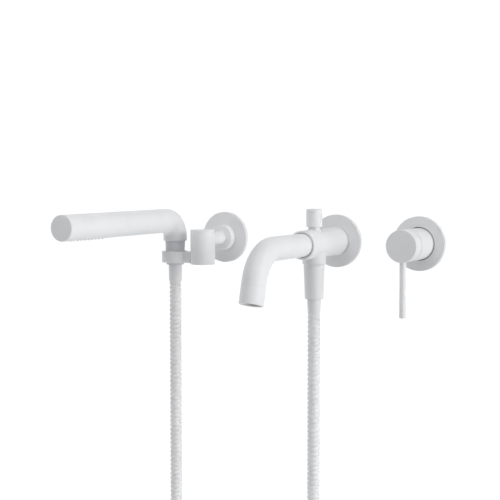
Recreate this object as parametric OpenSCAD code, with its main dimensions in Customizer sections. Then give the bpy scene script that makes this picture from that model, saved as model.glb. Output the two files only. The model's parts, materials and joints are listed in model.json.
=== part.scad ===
// Wall mounted bath faucet: a bath spout with a pull-up diverter, a stick hand
// shower in its holder, the hose between them, and a single-lever mixer.
// The wall is the plane Y = 0. The fittings stand out of it towards -Y, and
// the valve and the pipe nipple reach behind it. +Z is up. All sizes are in mm.

/* [Wall layout] */
// Centre distance from the hand shower holder to the spout
holder_spacing = 147.5; // [145:0.5:180]
// Centre distance from the spout to the mixer
mixer_spacing = 100; // [90:1:160]
// Diameter of each round wall flange
flange_d = 60; // [58:1:70]
// Thickness of each wall flange
flange_t = 5; // [4.5:0.25:6]

/* [Spout] */
// Diameter of the horizontal spout body
body_d = 31.5; // [31:0.5:34]
// How far the spout body stands out of the wall
body_reach = 90; // [90:1:110]
// Distance from the wall to the upright axis of the diverter
diverter_out = 59.5; // [56:0.5:60]
// Outside diameter of the curved spout tube
tube_d = 25.4; // [25:0.1:25.8]
// Wall of the curved spout tube
tube_wall = 1.5; // [1:0.1:2]
// Distance from the wall to the start of the bend
bend_out = 153.5; // [125:0.5:180]
// Radius of the bend, on the tube's axis
bend_r = 41; // [34:1:60]
// Angle that the spout bends down through
bend_angle = 75; // [60:1:90]
// Straight length between the bend and the outlet
tail_len = 24; // [22:1:40]
// Length of the aerator housing at the outlet
aerator_len = 18.7; // [16:0.1:20]

/* [Diverter] */
// Diameter of the pull-up knob
knob_d = 17.6; // [17:0.1:20]
// Height of the pull-up knob
knob_h = 19.6; // [16:0.1:22]
// How far the knob pulls up
knob_travel = 8; // [6:0.5:8]

/* [Hand shower] */
// Outside diameter of the L-shaped handset tube
handset_d = 27.5; // [27:0.1:28]
// Wall of the handset tube
handset_wall = 1.5; // [1.2:0.1:1.6]
// Height of the horizontal handset tube above the flange centres
handset_z = 21.4; // [21:0.1:26]
// Distance from the wall to the flat end of the handset
handset_reach = 265.5; // [255:0.5:300]
// Radius of the elbow, on the tube's axis
elbow_r = 20; // [16:1:22]
// Distance between two spray nozzles in a row
nozzle_pitch = 6; // [5.5:0.1:6.2]
// Number of spray nozzles in each row
nozzle_count = 10; // [4:1:10]

/* [Holder] */
// Distance from the wall to the upright barrel
barrel_out = 54; // [50:0.5:70]
// Diameter of the upright barrel
barrel_d = 28.4; // [27:0.1:30]
// Height of the upright barrel
barrel_h = 40; // [36:1:44]
// Diameter of the round arm
arm_d = 15; // [13:0.5:16]
// Distance from the barrel to the axis of the cradle ring
ring_offset = 38; // [36:0.5:45]
// Outside diameter of the cradle ring
ring_d = 31.4; // [31:0.1:34]
// Height of the cradle ring
ring_h = 13; // [11:0.5:14]

/* [Hose] */
// Outside diameter of the ribbed metal hose
hose_d = 14; // [13:0.1:14.5]

/* [Mixer] */
// Diameter of the mixer sleeve and its cap
mixer_d = 35; // [35:0.1:37]
// Distance from the wall to the flat front of the cap
mixer_reach = 55; // [55:0.5:57]
// Distance from the wall to the seam between sleeve and cap
seam_out = 38.6; // [38:0.2:39]
// Diameter of the lever pin
lever_d = 7; // [6:0.1:7.4]
// Distance from the mixer's axis down to the lever's tip
lever_drop = 76.8; // [60:0.2:120]
// Distance from the wall to the lever's axis
lever_out = 49; // [48.6:0.1:49.4]

/* [Hidden] */
$fn = 96;

// Finishes
enamel = "whitesmoke";
brass = "goldenrod";
steel = "silver";
rubber = "dimgray";
plastic = "gainsboro";
ceramic = "ivory";

// Small sizes that many pieces share
cut = 1;            // how far a cutting tool runs past a face
ease = 0.5;         // chamfer on the visible edges
snug = 0.05;        // gap between pieces that are screwed or pushed together
free = 0.3;         // gap between pieces that move past each other
grub_r = 2;         // M4 grub screw
g12_r = 9.9;        // G1/2 thread, at its pitch radius
g12_bore_r = 9.3;   // G1/2 female thread, at its minor radius

// Wall positions
holder_x = -holder_spacing;
mixer_x = mixer_spacing;
handset_x = holder_x - ring_offset;
recess_t = 3;                     // depth of the recess behind a flange
gasket_t = 2;
flange_r = flange_d / 2;
gasket_r = flange_r - 3.05;
plate_r = 23;

// Spout
body_r = body_d / 2;
tube_r = tube_d / 2;
socket_r = tube_r + snug;
rim_r = tube_r + 0.9;             // radius of the dark groove round the tube
rim_depth = 2.5;
socket_start = body_reach - 18;   // where the bore for the tube ends
tube_start = socket_start + 3;
aerator_start = tail_len - aerator_len;
boss_r = 13;
boss_z = -22.2;
thread_z = -35;
chamber_r = 7.5;
chamber_z = -9;
stem_r = 2.5;
collar_z = 20;
knob_z = 18.4;
knob_r = knob_d / 2;
seat_hole_r = 4.5;
washer_t = 0.7;
piston_z = -8.2;
piston_t = 1.8;
bush_z = piston_z + piston_t + washer_t + knob_travel + free;   // the upper seat
spring_r = 3.6;
spring_wire_r = 0.4;
spring_turns = 6;
spring_z0 = piston_z + piston_t + 0.1;
spring_z1 = 10.9;

// Hose fittings, from the top down, on the spout side and on the handset side
spout_nut_z = [-22.3, -60.4];
spout_nut_r = [11.65, 10.2];
spout_ferrule_z = [-60.6, -73.8];
spout_ferrule_r = [7.65, 7.2];
hand_nut_z = [-2.7, -30.6];
hand_nut_r = [11.65, 10.5];
hand_ferrule_z = [-30.9, -50.3];
hand_ferrule_r = [7.85, 7.6];
core_r = 5.9;                     // brass stem of each hose end
core_flange_r = 9.3;
core_flange_t = 2.8;
gland_t = 2;                      // rubber washer above each stem
hand_thread_z = -14;              // lower end of the handset's thread

// Handset
tube2_r = handset_d / 2;
tube2_in = tube2_r - handset_wall;
stub_z = -2.6;                    // lower end of the handset's upright leg
elbow_out = barrel_out + elbow_r;
cap_t = 2;
spray_end = handset_reach - 8.5;
spray_start = spray_end - nozzle_pitch * (nozzle_count - 1) - 14;
nozzle_r = 0.9;
row_angle = 22;
plate_half = 8;
waterway_r = 6;
waterway_z = -1;

// Holder
barrel_r = barrel_d / 2;
barrel_z = -29;
barrel_bore_r = 9;
holder_boss_r = 15;
holder_boss_out = 14.2;
shank_r = 10;
spigot_r = 6;
spigot_out = 8.5;
tenon_r = 5;
ring_r = ring_d / 2;
ring_z = -28;
ring_mid_z = ring_z + ring_h / 2;
liner_r = 13;
screw_spacing = 32;
screw_r = 2.4;

// Mixer
sleeve_r = mixer_d / 2;
sleeve_in = sleeve_r - 1.5;
pivot_out = seam_out - 8;                        // the lever tilts about this point
dome_r = sqrt(8 * 8 + sleeve_r * sleeve_r);      // the sleeve's dome meets its rim
dome_in = dome_r - 1.8;
dome_hole_r = 12.1;
flange_hole_r = 19;
valve_r = 17;
valve_z = [-26, -6.3];                           // back and front of the valve block
port_r = 5;                                      // sockets for the supply's spigots
port_depth = 8;
PORTS = [[-7.5, 4.3], [7.5, 4.3], [0, -8.6]];    // hot, cold and mixed
passage_r = 2.6;
neck_r = sleeve_in - snug;
cartridge_r = 13;
lug_spacing = 44;
lug_r = 4.5;
lug_z = [-12, -8];
stem2_r = 4.8;

// The hose hangs in a U from the handset's ferrule to the spout's ferrule
HOSE_ROUTE = [
  [-185.5, -54, -50.3], [-185.5, -54, -75], [-185.5, -54, -100],
  [-185.5, -54, -150], [-185.5, -54, -200], [-185.5, -54, -250],
  [-185.5, -54, -300], [-185.5, -54, -350], [-185.5, -54, -400],
  [-185.5, -54, -450], [-185, -54, -495], [-178, -54.5, -532],
  [-158, -55, -562], [-128, -56, -582], [-93, -57, -589],
  [-58, -58, -582], [-28, -59, -562], [-8, -59.5, -532],
  [-0.5, -59.5, -495], [0, -59.5, -450], [0, -59.5, -400],
  [0, -59.5, -350], [0, -59.5, -300], [0, -59.5, -250],
  [0, -59.5, -200], [0, -59.5, -150], [0, -59.5, -120],
  [0, -59.5, -95], [0, -59.5, -73.8]
];
HOSE_SIDES = 10;
HOSE_STEPS = 2;       // rings between two points of the route
SPRING_SIDES = 8;
SPRING_STEPS = 16;    // rings in each turn of the spring

// Points, curves and sweeps

// A point of the route, moved along with the two axes that the hose hangs from
function route_point(i) =
  let (p = HOSE_ROUTE[min(max(i, 0), len(HOSE_ROUTE) - 1)], share = p[0] / HOSE_ROUTE[0][0])
  [
    share * handset_x,
    p[1] - share * (barrel_out - 54) - (1 - share) * (diverter_out - 59.5),
    p[2]
  ];

// A smooth curve through the route's points: i is the point, t the share of the way on
function route_curve(i, t) =
  let (a = route_point(i - 1), b = route_point(i), c = route_point(i + 1), d = route_point(i + 2))
  b + 0.5 * t * ((c - a) + t * ((2 * a - 5 * b + 4 * c - d) + t * (3 * (b - c) + d - a)));

function unit(v) = v / norm(v);

function way(path, i) = unit(path[min(i + 1, len(path) - 1)] - path[max(i - 1, 0)]);

// One ring of a sweep, square to the path; up is any direction that the path never takes
function sweep_ring(path, i, r, sides, up) =
  let (t = way(path, i), b = unit(cross(t, up)), n = cross(b, t))
  [for (k = [0 : sides - 1]) path[i] + r * (cos(k * 360 / sides) * b + sin(k * 360 / sides) * n)];

module sweep(path, r, sides, up) {
  last = len(path) - 1;
  points = [for (i = [0 : last]) for (p = sweep_ring(path, i, r, sides, up)) p];
  side_faces = [
    for (i = [0 : last - 1]) for (k = [0 : sides - 1])
      let (m = (k + 1) % sides)
      [i * sides + k, i * sides + m, (i + 1) * sides + m, (i + 1) * sides + k]
  ];
  first_face = [[for (k = [sides - 1 : -1 : 0]) k]];
  last_face = [[for (k = [0 : sides - 1]) last * sides + k]];
  polyhedron(points = points, faces = concat(side_faces, first_face, last_face), convexity = 8);
}

// Shapes and places

// Turns +Z away from the wall, so a piece is drawn by its distance from the wall
module out(x = 0) {
  translate([x, 0, 0]) rotate([90, 0, 0]) children();
}

module diverter_axis() {
  translate([0, -diverter_out, 0]) children();
}

module handset_axis() {
  translate([handset_x, -barrel_out, 0]) children();
}

module barrel_axis() {
  translate([holder_x, -barrel_out, 0]) children();
}

module disc(r, z0, z1) {
  translate([0, 0, z0]) cylinder(r = r, h = z1 - z0);
}

module ring(r_out, r_in, z0, z1) {
  difference() {
    disc(r_out, z0, z1);
    disc(r_in, z0 - cut, z1 + cut);
  }
}

// A disc with a small chamfer round its far face
module eased_disc(r, z0, z1) {
  rotate_extrude() polygon([[0, z0], [r, z0], [r, z1 - ease], [r - ease, z1], [0, z1]]);
}

module cone(r0, r1, z0, z1) {
  translate([0, 0, z0]) cylinder(r1 = r0, r2 = r1, h = z1 - z0);
}

// A cylinder across, along X
module across(r, x0, x1) {
  translate([x0, 0, 0]) rotate([0, 90, 0]) cylinder(r = r, h = x1 - x0);
}

// A bend in the plane of Y and Z that starts along +Z and turns down, with a bore
module bend(r, path_r, start, angle, bore_r) {
  translate([0, -path_r, start]) rotate([90, 0, 90])
    rotate_extrude(angle = angle) translate([path_r, 0]) difference() {
      circle(r = r);
      circle(r = bore_r);
    }
}

// The spout's straight tail, drawn by its distance past the bend
module spout_tail() {
  translate([0, -bend_r * (1 - cos(bend_angle)), bend_out + bend_r * sin(bend_angle)])
    rotate([bend_angle, 0, 0]) children();
}

// The handset's L-shaped path: horizontal tube, elbow, upright leg
module handset_path(r, far, low) {
  out(handset_x) translate([0, handset_z, 0]) {
    disc(r, elbow_out, far);
    translate([0, -elbow_r, elbow_out]) rotate([90, 0, 90]) rotate([0, 0, -90])
      rotate_extrude(angle = 90) translate([elbow_r, 0]) circle(r = r);
  }
  handset_axis() disc(r, low, handset_z - elbow_r);
}

// Wall flange with a recess behind it
module flange(hole_r) {
  difference() {
    eased_disc(flange_r, 0, flange_t);
    disc(flange_r - 3, -cut, recess_t);
    disc(hole_r, -cut, flange_t + cut);
  }
}

// Upper face of the hose's stem, below a thread's end and its washer
function core_top(thread_end) = thread_end - gland_t - snug;

// Cone nut of the hose: a threaded bore above a ledge that the hose's stem hangs on
module hose_nut(z, r, thread_end) {
  difference() {
    union() {
      cone(r[1], r[0], z[1], z[0] - ease);
      cone(r[0], r[0] - ease, z[0] - ease, z[0]);
    }
    disc(g12_r + snug, core_top(thread_end) - core_flange_t - free, z[0] + cut);
    disc(core_r + free, z[1] - cut, z[0]);
  }
}

// Brass stem of one hose end: its flange hangs on the nut's ledge
module hose_core(thread_end, ferrule_z) {
  top = core_top(thread_end);
  difference() {
    union() {
      disc(core_flange_r, top - core_flange_t, top);
      disc(core_r, ferrule_z[1] + 1, top - cut);
    }
    disc(4, ferrule_z[1], top + cut);
  }
}

// Crimped sleeve at one end of the hose
module ferrule(z, r) {
  difference() {
    cone(r[1], r[0], z[1], z[0]);
    disc(core_r + snug, z[1] - cut, z[0] + cut);
  }
}

// Spout

module spout_flange() {
  color(enamel) out() flange(body_r + 0.1);
}

module spout_body() {
  color(enamel) difference() {
    union() {
      out() disc(body_r, 1, body_reach - rim_depth);
      out() eased_disc(body_r, body_reach - rim_depth - cut, body_reach);
      diverter_axis() disc(boss_r, boss_z, 0);
      diverter_axis() disc(g12_r, thread_z, boss_z + cut);
    }
    out() {
      disc(8.15, 0, 13);
      disc(socket_r, socket_start, body_reach + cut);
      disc(rim_r, body_reach - rim_depth, body_reach + cut);
      translate([0, -3.2, 12]) cylinder(r = 5, h = diverter_out - 12);
      translate([0, 8, diverter_out]) cylinder(r = 3.5, h = socket_start + cut - diverter_out);
    }
    diverter_axis() {
      disc(chamber_r, chamber_z, body_r + cut);
      disc(seat_hole_r, -20, chamber_z + cut);
      disc(6.5, thread_z - cut, -19.9);
    }
    translate([0, -(socket_start + 12.5), 0]) disc(grub_r + 0.02, -body_r - cut, -socket_r + cut);
  }
}

module spout_tube() {
  bore_r = tube_r - tube_wall;
  color(enamel) out() {
    difference() {
      disc(tube_r, tube_start, bend_out);
      disc(9.5, tube_start - cut, body_reach + cut);
      disc(bore_r, body_reach, bend_out + cut);
      ring(tube_r + cut, 11.4, tube_start + 1.5, tube_start + 3.5);
      ring(tube_r + cut, 11.4, tube_start + 5, tube_start + 7);
      ring(tube_r + cut, 11.8, tube_start + 8.4, tube_start + 10.6);
    }
    bend(tube_r, bend_r, bend_out, bend_angle, bore_r);
    spout_tail() ring(tube_r - snug, bore_r + snug, -ease, aerator_start - 0.25);
    spout_tail() ring(tube_r - 1.2, tube_r - 2.2, 2, aerator_start + 4);
  }
}

module spout_orings() {
  color(rubber) out() for (z = [tube_start + 1.6, tube_start + 5.1])
    ring(tube_r, 11.45, z, z + 1.8);
}

module spout_grub_screw() {
  color(steel) translate([0, -(socket_start + 12.5), 0]) difference() {
    union() {
      disc(grub_r, -15.4, -tube_r - snug);
      disc(1, -15, -11.9);
    }
    translate([0, 0, -15.6]) cylinder(r = 1.1, h = 1.6, $fn = 6);
  }
}

module aerator_housing() {
  color(enamel) out() spout_tail() difference() {
    rotate_extrude() polygon([
      [tube_r - 1.15, aerator_start], [tube_r, aerator_start],
      [tube_r, tail_len - ease], [tube_r - ease, tail_len],
      [tube_r - 1.6, tail_len], [tube_r - 2.2, tail_len - 1.2],
      [tube_r - 2.2, aerator_start + 4.2], [tube_r - 1.15, aerator_start + 4.2]
    ]);
  }
}

module aerator_insert() {
  color(rubber) out() spout_tail() difference() {
    disc(tube_r - 2.25, tail_len - 8, tail_len - 2);
    for (ring_n = [1 : 3]) for (k = [0 : 6 * ring_n - 1])
      rotate([0, 0, k * 60 / ring_n]) translate([ring_n * 2.9, 0, 0])
        disc(0.9, tail_len - 9, tail_len);
    disc(0.9, tail_len - 9, tail_len);
  }
}

module aerator_washer() {
  color(rubber) out() spout_tail() ring(tube_r - 2.25, 8.5, tail_len - 10, tail_len - 8.05);
}

module wall_nipple() {
  color(brass) out() difference() {
    union() {
      disc(10.2, -28, 1);
      disc(8.1, 0, 12.5);
    }
    disc(5.5, -30, 14);
  }
}

// Diverter

module diverter_bush() {
  color(enamel) diverter_axis() difference() {
    union() {
      disc(chamber_r - snug, bush_z, body_r + 0.2);
      disc(6.6, body_r - cut, collar_z);
    }
    disc(4.8, bush_z - cut, 6);
    disc(6, 5, 11);
    disc(stem_r + 0.06, 10, collar_z + cut);
    disc(4, 13, 14.6);
    translate([0, 20, 8]) rotate([90, 0, 0]) cylinder(r = 3.5, h = 40);
  }
}

module diverter_stem_seal() {
  color(rubber) diverter_axis() translate([0, 0, 13.8])
    rotate_extrude() translate([3.28, 0]) circle(r = 0.7, $fn = 24);
}

module diverter_spring() {
  path = [
    for (i = [0 : spring_turns * SPRING_STEPS])
      let (a = i * 360 / SPRING_STEPS, share = i / (spring_turns * SPRING_STEPS))
      [
        spring_r * cos(a), spring_r * sin(a),
        spring_z0 + spring_wire_r + share * (spring_z1 - spring_z0 - 2 * spring_wire_r)
      ]
  ];
  color(steel) diverter_axis() sweep(path, spring_wire_r, SPRING_SIDES, [0, 0, 1]);
}

module diverter_knob() {
  color(enamel) diverter_axis() difference() {
    eased_disc(knob_r, knob_z, knob_z + knob_h);
    disc(7.6, knob_z - cut, 24);
    disc(stem_r, 23, 34);
    ring(knob_r + cut, knob_r - 0.3, knob_z + knob_h - 3.7, knob_z + knob_h - 3.3);
  }
}

module diverter_stem() {
  color(brass) diverter_axis() disc(stem_r, piston_z, 34);
}

module diverter_piston() {
  color(brass) diverter_axis() ring(6.9, stem_r, piston_z, piston_z + piston_t);
}

module diverter_seat_washers() {
  color(rubber) diverter_axis() {
    ring(6.6, 4.2, piston_z - washer_t, piston_z);
    ring(6.6, 4.2, piston_z + piston_t, piston_z + piston_t + washer_t);
  }
}

// Hose and its fittings

module check_valve() {
  color(plastic) diverter_axis() difference() {
    union() {
      ring(6.45, 4.6, thread_z + 1, -22);
      ring(5, 1.4, -30, -28.5);
      disc(1.5, -33, -23);
      cone(1.4, 4.2, -25.4, -23);
    }
    for (a = [0 : 60 : 300])
      rotate([0, 0, a]) translate([3, 0, 0]) disc(1, -31, -28);
  }
}

module hose_nut_spout() {
  color(enamel) diverter_axis() hose_nut(spout_nut_z, spout_nut_r, thread_z);
}

module hose_washer_spout() {
  color(rubber) diverter_axis() ring(9, 5, thread_z - gland_t, thread_z - snug);
}

module hose_core_spout() {
  color(brass) diverter_axis() hose_core(thread_z, spout_ferrule_z);
}

module ferrule_spout() {
  color(enamel) diverter_axis() ferrule(spout_ferrule_z, spout_ferrule_r);
}

module hose() {
  segments = len(HOSE_ROUTE) - 1;
  path = concat(
    [for (i = [0 : segments - 1]) for (k = [0 : HOSE_STEPS - 1]) route_curve(i, k / HOSE_STEPS)],
    [route_point(segments)]
  );
  color(enamel) sweep(path, hose_d / 2, HOSE_SIDES, [0, 1, 0]);
}

// Holder

module wall_gaskets() {
  color(rubber) for (x = [holder_x, 0, mixer_x])
    out(x) ring(gasket_r, gasket_r - 2.8, 0, gasket_t);
}

module holder_flange() {
  color(enamel) out(holder_x) flange(shank_r + snug);
}

module holder_wall_plate() {
  color(steel) out(holder_x) difference() {
    union() {
      disc(plate_r, 0, recess_t - 0.1);
      disc(spigot_r, recess_t - cut, spigot_out);
    }
    for (side = [-1, 1]) translate([0, side * screw_spacing / 2, 0]) {
      disc(screw_r + snug, -cut, recess_t + cut);
      cone(screw_r + snug, 4.75, 0.6, recess_t);
    }
  }
}

module holder_wall_screws() {
  color(steel) out(holder_x) for (side = [-1, 1])
    translate([0, side * screw_spacing / 2, 0]) difference() {
      union() {
        disc(screw_r, -30, -0.5);
        disc(screw_r - 0.2, -1, 1);
        cone(screw_r, 4.5, 0.6, 2.8);
        cone(0.4, screw_r, -35, -30);
      }
      translate([0, 0, 1.2]) cylinder(r = 1.6, h = 3, $fn = 6);
    }
}

module holder_boss() {
  color(enamel) difference() {
    out(holder_x) difference() {
      union() {
        eased_disc(holder_boss_r, flange_t, holder_boss_out);
        disc(shank_r, recess_t, flange_t + cut);
      }
      disc(spigot_r + snug, 0, spigot_out + 0.1);
      disc(tenon_r, spigot_out, holder_boss_out + cut);
    }
    translate([holder_x, -7.3, 0]) disc(grub_r + 0.02, -holder_boss_r - cut, -spigot_r);
  }
}

module holder_grub_screw() {
  color(steel) translate([holder_x, -7.3, 0]) difference() {
    disc(grub_r, -14.4, -spigot_r - snug);
    translate([0, 0, -14.6]) cylinder(r = 1.1, h = 1.8, $fn = 6);
  }
}

module holder_arm() {
  color(enamel) {
    difference() {
      out(holder_x) disc(arm_d / 2, holder_boss_out, barrel_out);
      barrel_axis() disc(barrel_r + 0.02, -arm_d, arm_d);
    }
    out(holder_x) disc(tenon_r - snug, spigot_out + 0.2, barrel_out - barrel_bore_r - 0.4);
  }
}

module holder_barrel() {
  color(enamel) difference() {
    barrel_axis() {
      eased_disc(barrel_r, 0, barrel_z + barrel_h);
      disc(barrel_r, barrel_z, cut);
    }
    barrel_axis() disc(barrel_bore_r, barrel_z - cut, 6);
    out(holder_x) disc(tenon_r, 0, barrel_out);
    barrel_axis() translate([0, 0, ring_mid_z]) across(tenon_r, -barrel_r - cut, 0);
  }
}

module barrel_plug() {
  color(enamel) barrel_axis() difference() {
    disc(barrel_bore_r - snug, barrel_z, barrel_z + 3);
    translate([0, 0, barrel_z - cut]) cylinder(r = 2.3, h = 2.6, $fn = 6);
  }
}

module holder_bracket() {
  color(enamel) barrel_axis() difference() {
    union() {
      difference() {
        union() {
          translate([-ring_offset, 0, 0]) disc(ring_r, ring_z, ring_z + ring_h);
          translate([-ring_offset, -6, ring_z]) cube([ring_offset, 12, ring_h]);
        }
        disc(barrel_r + 0.02, ring_z - cut, ring_z + ring_h + cut);
      }
      translate([0, 0, ring_mid_z]) across(tenon_r - snug, -barrel_r - cut, -barrel_bore_r - 0.4);
    }
    translate([-ring_offset, 0, 0]) disc(liner_r, ring_z - cut, ring_z + ring_h + cut);
    translate([0, 0, ring_mid_z]) across(grub_r + 0.02, -21.5, 0);
  }
}

module bracket_screw() {
  color(steel) barrel_axis() translate([0, 0, ring_mid_z]) {
    across(grub_r, -21, -8);
    across(3.5, -8.8, -5.8);
  }
}

module bracket_liner() {
  slope = (hand_nut_r[0] - hand_nut_r[1]) / (hand_nut_z[0] - hand_nut_z[1]);
  low_r = hand_nut_r[1] + (ring_z - hand_nut_z[1]) * slope + free + 0.05;
  color(plastic) handset_axis() difference() {
    disc(liner_r - 0.02, ring_z, ring_z + ring_h);
    cone(low_r - slope, low_r + (ring_h + cut) * slope, ring_z - cut, ring_z + ring_h + cut);
  }
}

// Handset

module spray_window(gap) {
  out(handset_x) translate([-plate_half + gap, handset_z - 20, spray_start + gap])
    cube([2 * (plate_half - gap), 18, spray_end - spray_start - 2 * gap]);
}

// Places a child on each nozzle, with +Z pointing out of the tube
module each_nozzle() {
  out(handset_x) translate([0, handset_z, 0])
    for (row = [-1 : 1]) for (k = [0 : nozzle_count - 1])
      rotate([0, 0, row * row_angle]) translate([0, 0, spray_start + 7 + k * nozzle_pitch])
        rotate([90, 0, 0]) children();
}

module handset_body() {
  color(enamel) difference() {
    handset_path(tube2_r, handset_reach - cap_t, stub_z);
    handset_path(tube2_in, handset_reach, stub_z - cut);
    spray_window(0);
  }
}

module handset_end_cap() {
  color(enamel) out(handset_x) translate([0, handset_z, 0]) {
    eased_disc(tube2_r, handset_reach - cap_t + 0.05, handset_reach);
    ring(tube2_in - snug, tube2_in - 1.5, handset_reach - 7, handset_reach - cap_t + cut);
  }
}

module spray_plate() {
  color(enamel) difference() {
    intersection() {
      out(handset_x) translate([0, handset_z, 0])
        ring(tube2_r, tube2_in, spray_start, spray_end);
      spray_window(0.1);
    }
    each_nozzle() disc(nozzle_r + 0.1, tube2_in - cut, tube2_r + cut);
  }
}

module spray_nozzles() {
  color(plastic) {
    intersection() {
      out(handset_x) translate([0, handset_z, 0])
        ring(tube2_in - 0.1, tube2_in - 1.1, spray_start, spray_end);
      spray_window(0.2);
    }
    each_nozzle() difference() {
      disc(nozzle_r, tube2_in - 0.6, tube2_r + 1);
      disc(0.4, tube2_in - 0.4, tube2_r + 2);
    }
  }
}

module handset_waterway() {
  color(plastic) difference() {
    union() {
      handset_path(waterway_r, spray_start - 4, waterway_z);
      out(handset_x) translate([0, handset_z, 0])
        disc(tube2_in - snug, spray_start - 7, spray_start - 4);
    }
    handset_path(waterway_r - 1.2, spray_start, waterway_z - cut);
  }
}

module handset_connector() {
  color(brass) handset_axis() difference() {
    union() {
      disc(tube2_in - snug, stub_z + 0.1, 1.3);
      disc(g12_r, hand_thread_z, stub_z + cut);
    }
    disc(waterway_r + snug, waterway_z - 0.1, 3);
    disc(5, hand_thread_z - cut, waterway_z);
  }
}

module flow_restrictor() {
  color(plastic) handset_axis() difference() {
    disc(4.95, -13, -10);
    disc(1.8, -14, -9);
    cone(4.2, 1.8, -13.1, -12);
  }
}

module handset_washer() {
  color(rubber) handset_axis() ring(9, 5.5, hand_thread_z - gland_t, hand_thread_z - snug);
}

module hose_nut_handset() {
  color(enamel) handset_axis() hose_nut(hand_nut_z, hand_nut_r, hand_thread_z);
}

module hose_core_handset() {
  color(brass) handset_axis() hose_core(hand_thread_z, hand_ferrule_z);
}

module ferrule_handset() {
  color(enamel) handset_axis() ferrule(hand_ferrule_z, hand_ferrule_r);
}

// Mixer

module mixer_flange() {
  color(enamel) out(mixer_x) flange(flange_hole_r);
}

// Rubber disc behind the flange that closes the gap round the sleeve
module mixer_seal() {
  color(rubber) out(mixer_x) ring(24, sleeve_r + snug, 0.2, recess_t - 0.1);
}

// A tube that ends in a dome, so that the cap can tilt over it
module mixer_sleeve() {
  color(enamel) out(mixer_x) difference() {
    union() {
      disc(sleeve_r, -6, pivot_out);
      intersection() {
        translate([0, 0, pivot_out]) sphere(r = dome_r);
        disc(sleeve_r, pivot_out - cut, pivot_out + dome_r);
      }
    }
    disc(sleeve_in, -7, pivot_out);
    intersection() {
      translate([0, 0, pivot_out]) sphere(r = dome_in);
      disc(sleeve_in, pivot_out - cut, pivot_out + dome_r);
    }
    disc(dome_hole_r, pivot_out, pivot_out + dome_r + cut);
  }
}

// Brass block in the wall that holds the cartridge. Its three sockets at the back
// plug onto the hot, cold and mixed spigots of the supply.
module mixer_valve_body() {
  color(brass) out(mixer_x) difference() {
    union() {
      disc(neck_r, -10, 12);
      disc(valve_r, valve_z[0], valve_z[1]);
      translate([-lug_r, -lug_spacing / 2, lug_z[0]]) cube([2 * lug_r, lug_spacing, lug_z[1] - lug_z[0]]);
      for (side = [-1, 1]) translate([0, side * lug_spacing / 2, 0]) disc(lug_r, lug_z[0], lug_z[1]);
    }
    disc(cartridge_r + snug, -7.5, 13);
    for (p = PORTS) translate([p[0], p[1], 0]) {
      disc(port_r, valve_z[0] - cut, valve_z[0] + port_depth);
      disc(passage_r, valve_z[0] + port_depth - cut, -7);
    }
    for (side = [-1, 1]) translate([0, side * lug_spacing / 2, 0]) disc(2.25, lug_z[0] - cut, lug_z[1] + cut);
  }
}

module cartridge_body() {
  color(plastic) out(mixer_x) difference() {
    union() {
      disc(cartridge_r, -6, 10);
      disc(9.5, 9, 20);
    }
    disc(10.5, -2.9, 3.6);
    disc(6.35, 3, 21);
    for (a = [30, 150, 270]) rotate([0, 0, a]) translate([7, 0, 0]) disc(2.6, -7, -2);
  }
}

module cartridge_seal() {
  color(rubber) out(mixer_x) difference() {
    disc(12, -7.45, -6.05);
    for (a = [30, 150, 270]) rotate([0, 0, a]) translate([7, 0, 0]) disc(3.2, -8, -5);
  }
}

module cartridge_nut() {
  color(brass) out(mixer_x) difference() {
    union() {
      disc(cartridge_r, 10.05, 12);
      translate([0, 0, 12]) cylinder(r = 15.5, h = 6, $fn = 6);
    }
    disc(9.55, 9, 19);
  }
}

module fixed_disc() {
  color(ceramic) out(mixer_x) difference() {
    disc(10.3, -2.8, 0.2);
    for (a = [30, 150, 270]) rotate([0, 0, a]) translate([7, 0, 0]) disc(2.2, -4, 1);
  }
}

module moving_disc() {
  color(ceramic) out(mixer_x) difference() {
    disc(8.5, 0.3, 3.2);
    translate([0, -2.5, 0]) disc(4, 0, 2);
  }
}

// Turns in the cartridge with the lever and carries the lever's pivot in a fork
module cartridge_spindle() {
  color(brass) out(mixer_x) difference() {
    union() {
      disc(6, 3.25, 21);
      disc(9.3, 20.3, 23.5);
      for (side = [-1, 1]) intersection() {
        translate([side > 0 ? 6 : -10, -5, 22]) cube([4, 10, pivot_out - 22 + 4.5]);
        disc(9.6, 22, 40);
      }
    }
    translate([0, 0, pivot_out]) across(2.02, -11, 11);
  }
}

module pivot_pin() {
  color(steel) out(mixer_x) translate([0, 0, pivot_out]) across(2, -9.2, 9.2);
}

module lever_stem() {
  color(brass) out(mixer_x) difference() {
    union() {
      translate([0, 0, pivot_out]) across(4.6, -5.6, 5.6);
      disc(stem2_r, pivot_out, mixer_reach - 1.6);
    }
    translate([0, 0, pivot_out]) across(2.06, -7, 7);
    translate([0, -stem2_r - cut, lever_out]) rotate([-90, 0, 0]) cylinder(r = 2.6, h = 2);
  }
}

module mixer_cap() {
  color(enamel) out(mixer_x) difference() {
    eased_disc(sleeve_r, seam_out, mixer_reach);
    translate([0, 0, pivot_out]) sphere(r = dome_r + free);
    disc(stem2_r + 0.02, pivot_out, mixer_reach - 1.5);
    translate([0, -stem2_r + cut, lever_out]) rotate([90, 0, 0]) cylinder(r = 2.52, h = 20);
    translate([0, -16, lever_out]) rotate([90, 0, 0]) cylinder(r = lever_d / 2 + 0.02, h = 10);
  }
}

module mixer_lever() {
  color(enamel) out(mixer_x) translate([0, 0, lever_out]) rotate([90, 0, 0]) {
    eased_disc(lever_d / 2, 16, lever_drop);
    disc(2.5, 4, 17);
  }
}

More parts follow.
